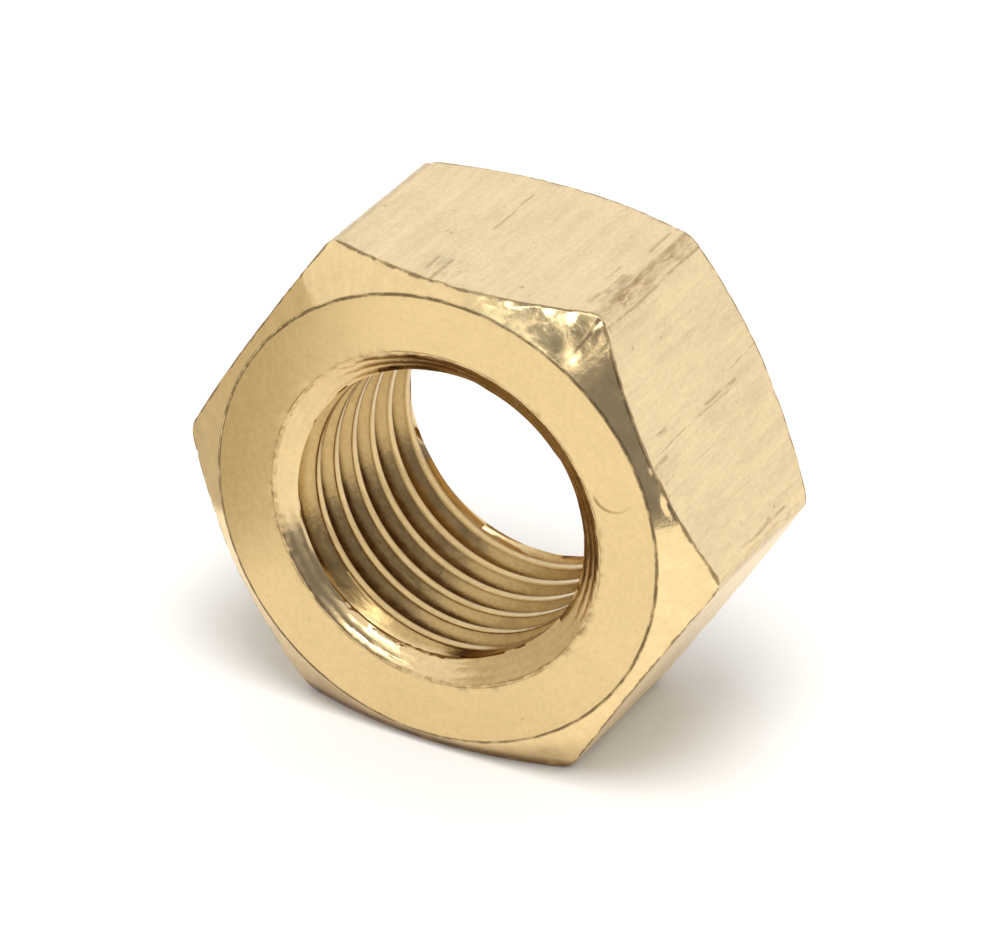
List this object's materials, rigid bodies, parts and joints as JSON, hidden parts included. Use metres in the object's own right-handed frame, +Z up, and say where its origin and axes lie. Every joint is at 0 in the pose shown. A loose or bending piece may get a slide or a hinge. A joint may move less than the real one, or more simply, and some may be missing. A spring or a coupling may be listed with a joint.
{
  "type": "hex nut",
  "caption": "Solid brass hexagon nut with a fine right-hand internal thread, chamfered and countersunk at both ends.",
  "frame": {"origin": "on the bore axis, halfway between the two turned faces", "axes": "+Y along the bore axis; +Z up, square to the flat that the nut stands on; +X towards the corner between the two right-hand flats"},
  "size_m": [0.0308, 0.0144, 0.027],
  "materials": {
    "brass": "drawn flats, turned ends"
  },
  "bodies": {
    "root": {"nut_body": "brass"}
  },
  "joints": []
}
